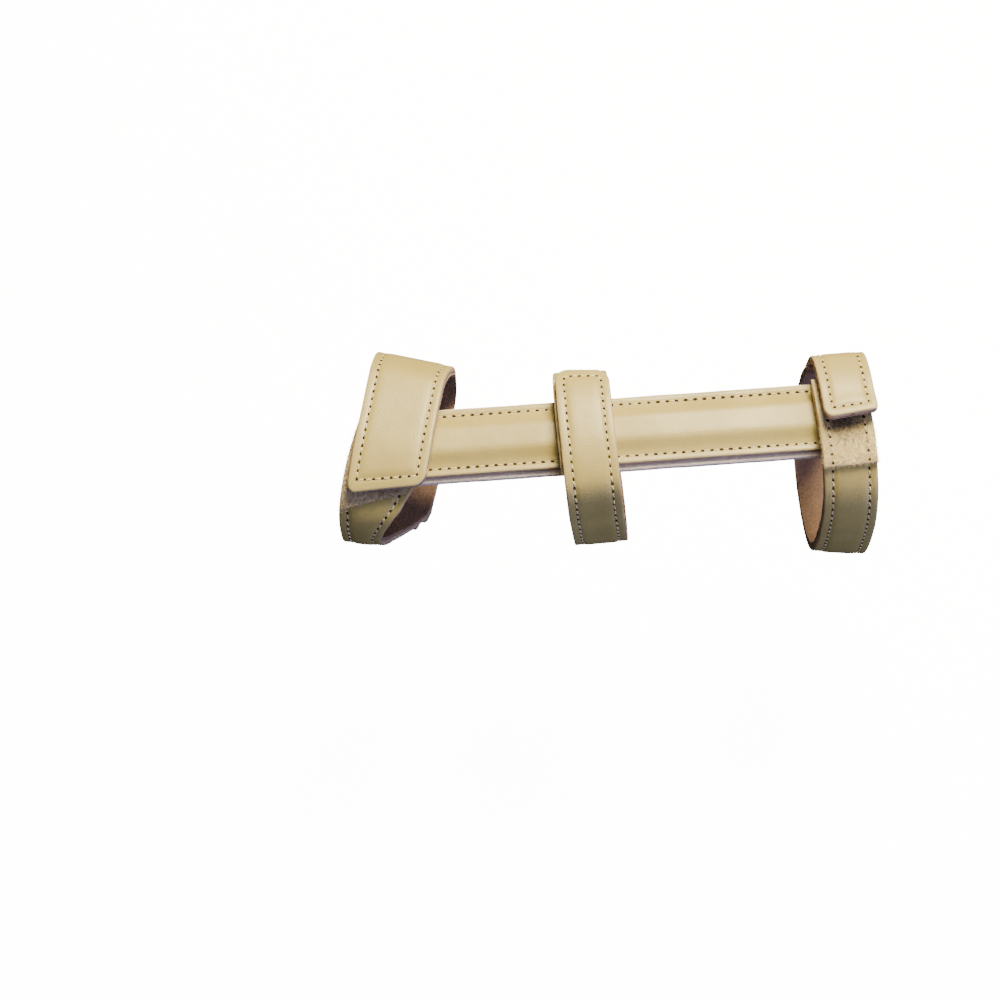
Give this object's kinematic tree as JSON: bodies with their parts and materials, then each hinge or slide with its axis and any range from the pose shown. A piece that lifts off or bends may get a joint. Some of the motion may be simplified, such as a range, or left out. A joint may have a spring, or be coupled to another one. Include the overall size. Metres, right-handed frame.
{
  "type": "wrist splint",
  "caption": "Wrist and forearm splint for a right arm: a leather-covered stay along the back of the wrist, held by hook-and-loop leather straps and a palm cuff with a pocket for a utensil.",
  "frame": {"origin": "centre of the wrist that the wrist strap goes round, on the middle line of the stay", "axes": "+X along the forearm towards the elbow, +Y to the little finger's side, +Z out of the back of the hand, for a right arm held out level with the palm down"},
  "size_m": [0.1922, 0.0795, 0.0794],
  "materials": {
    "tan_leather": "smooth, soft sheen",
    "suede_lining": "matte suede",
    "white_felt": "matte felt",
    "hook_fabric": "matte, fuzzy"
  },
  "bodies": {
    "root": {"stay_cover": "tan_leather", "stay_lining": "white_felt", "hand_cuff": "tan_leather", "hand_cuff_lining": "suede_lining", "hand_cuff_patch": "hook_fabric", "utensil_pocket": "tan_leather", "wrist_strap": "tan_leather", "wrist_strap_lining": "suede_lining", "wrist_strap_patch": "hook_fabric", "forearm_strap": "tan_leather", "forearm_strap_lining": "suede_lining", "forearm_strap_patch": "hook_fabric", "forearm_tab_hook": "hook_fabric"}
  },
  "joints": []
}
